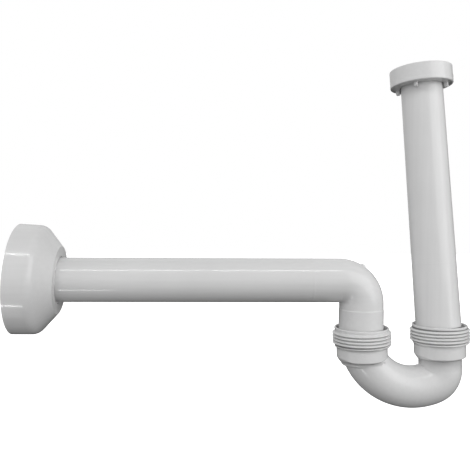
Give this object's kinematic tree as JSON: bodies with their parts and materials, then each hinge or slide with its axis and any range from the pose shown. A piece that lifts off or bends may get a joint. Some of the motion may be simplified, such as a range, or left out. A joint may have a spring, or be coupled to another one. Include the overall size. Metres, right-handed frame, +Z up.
{
  "type": "basin trap",
  "caption": "Tubular basin trap: wall rosette on a horizontal outlet tube, U-bend with two threaded sockets, and a tall leaning inlet tube topped by a union nut.",
  "frame": {"origin": "on the outlet tube's axis at its wall end, in the wall plane", "axes": "+X along the outlet tube from the wall into the room, +Z up, -Y towards the picture's viewer"},
  "size_m": [0.3264, 0.0777, 0.2492],
  "materials": {
    "outlet_plastic": "white glossy injection-moulded polypropylene",
    "rosette_plastic": "white glossy injection-moulded polypropylene",
    "bend_plastic": "white glossy injection-moulded polypropylene",
    "inlet_plastic": "white glossy injection-moulded polypropylene",
    "nut_plastic": "white glossy injection-moulded polypropylene",
    "washer_rubber": "matt black sealing rubber",
    "outlet_seal_rubber": "matt grey sealing rubber",
    "inlet_seal_rubber": "matt grey sealing rubber"
  },
  "bodies": {
    "outlet": {"outlet_pipe": "outlet_plastic"},
    "cover": {"rosette": "rosette_plastic"},
    "leg_ring": {"outlet_seal": "outlet_seal_rubber"},
    "bend": {"u_bend": "bend_plastic"},
    "socket_ring": {"inlet_seal": "inlet_seal_rubber"},
    "inlet": {"inlet_pipe": "inlet_plastic", "nut_washer": "washer_rubber"},
    "nut": {"union_nut": "nut_plastic"}
  },
  "joints": [
    {"name": "rosette_slide", "type": "slide", "parent": "outlet", "child": "cover", "axis": [1, 0, 0], "range_m": [0, 0.15]},
    {"name": "trap_height", "type": "slide", "parent": "outlet", "child": "leg_ring", "axis": [0, 0, 1], "range_m": [-0.006, 0.005]},
    {"name": "trap_swivel", "type": "hinge", "parent": "leg_ring", "child": "bend", "pos_m": [0.2469, 0, -0.0338], "axis": [-0.0349, 0, 0.9994], "range_deg": [-130, 130]},
    {"name": "inlet_turn", "type": "hinge", "parent": "bend", "child": "socket_ring", "pos_m": [0.30371, 0, -0.03732], "axis": [-0.0635, 0.0609, 0.9961], "continuous": true},
    {"name": "inlet_height", "type": "slide", "parent": "socket_ring", "child": "inlet", "axis": [-0.0635, 0.0609, 0.9961], "range_m": [-0.005, 0.006]},
    {"name": "nut_spin", "type": "hinge", "parent": "inlet", "child": "nut", "pos_m": [0.29226, 0.01098, 0.14213], "axis": [-0.0635, 0.0609, 0.9961], "continuous": true}
  ]
}
